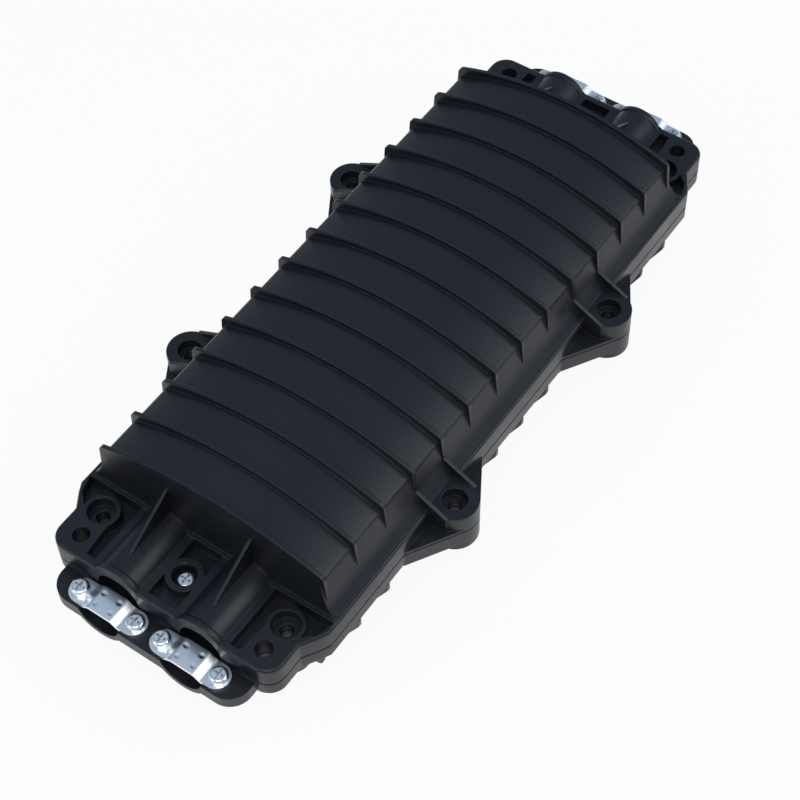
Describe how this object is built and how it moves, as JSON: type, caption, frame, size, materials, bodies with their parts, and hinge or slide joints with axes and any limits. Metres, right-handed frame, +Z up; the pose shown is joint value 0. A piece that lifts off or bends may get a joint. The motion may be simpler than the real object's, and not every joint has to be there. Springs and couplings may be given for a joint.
{
  "type": "outdoor fibre splice box",
  "caption": "Ribbed black moulded closure in two bolted halves, with cable ports at both ends, steel cable straps, side lugs and fibre splice trays inside.",
  "frame": {"origin": "middle of the flat bottom, on the surface that the box lies on", "axes": "+X along the box towards its far end, +Y to its left side seen from the near end, +Z up"},
  "size_m": [0.362, 0.1586, 0.082],
  "materials": {
    "black_plastic": "satin, moulded",
    "strap_steel": "bright zinc",
    "zinc_screws": "zinc plated",
    "bracket_steel": "galvanised sheet",
    "seal_rubber": "matt",
    "tray_plastic": "satin",
    "holder_rubber": "matt",
    "clear_plastic": "clear"
  },
  "bodies": {
    "base": {"base_shell": "black_plastic", "bracket_screws": "zinc_screws", "cable_clamp_far_left": "strap_steel", "cable_clamp_far_right": "strap_steel", "cable_clamp_near_left": "strap_steel", "cable_clamp_near_right": "strap_steel", "clamp_screws_far_left": "zinc_screws", "clamp_screws_far_right": "zinc_screws", "clamp_screws_near_left": "zinc_screws", "clamp_screws_near_right": "zinc_screws", "seal_far": "seal_rubber", "seal_left": "seal_rubber", "seal_near": "seal_rubber", "seal_right": "seal_rubber", "splice_holder_lower_left": "holder_rubber", "splice_holder_lower_right": "holder_rubber", "splice_holder_upper_left": "holder_rubber", "splice_holder_upper_right": "holder_rubber", "splice_tray_lower": "tray_plastic", "splice_tray_upper": "tray_plastic", "strength_clamp_far_left": "strap_steel", "strength_clamp_far_right": "strap_steel", "strength_clamp_near_left": "strap_steel", "strength_clamp_near_right": "strap_steel", "strength_screw_far_left": "zinc_screws", "strength_screw_far_right": "zinc_screws", "strength_screw_near_left": "zinc_screws", "strength_screw_near_right": "zinc_screws", "tray_bracket": "bracket_steel", "tray_lid": "clear_plastic", "tray_nut_far": "zinc_screws", "tray_nut_near": "zinc_screws", "tray_spacer_far": "tray_plastic", "tray_spacer_near": "tray_plastic", "tray_stud_far": "zinc_screws", "tray_stud_near": "zinc_screws"},
    "cover": {"cover_shell": "black_plastic", "cover_screw_near": "zinc_screws", "cover_screw_far": "zinc_screws"}
  },
  "joints": [
    {"name": "cover_lift", "type": "slide", "parent": "base", "child": "cover", "axis": [0, 0, 1], "range_m": [0, 0.12]}
  ]
}
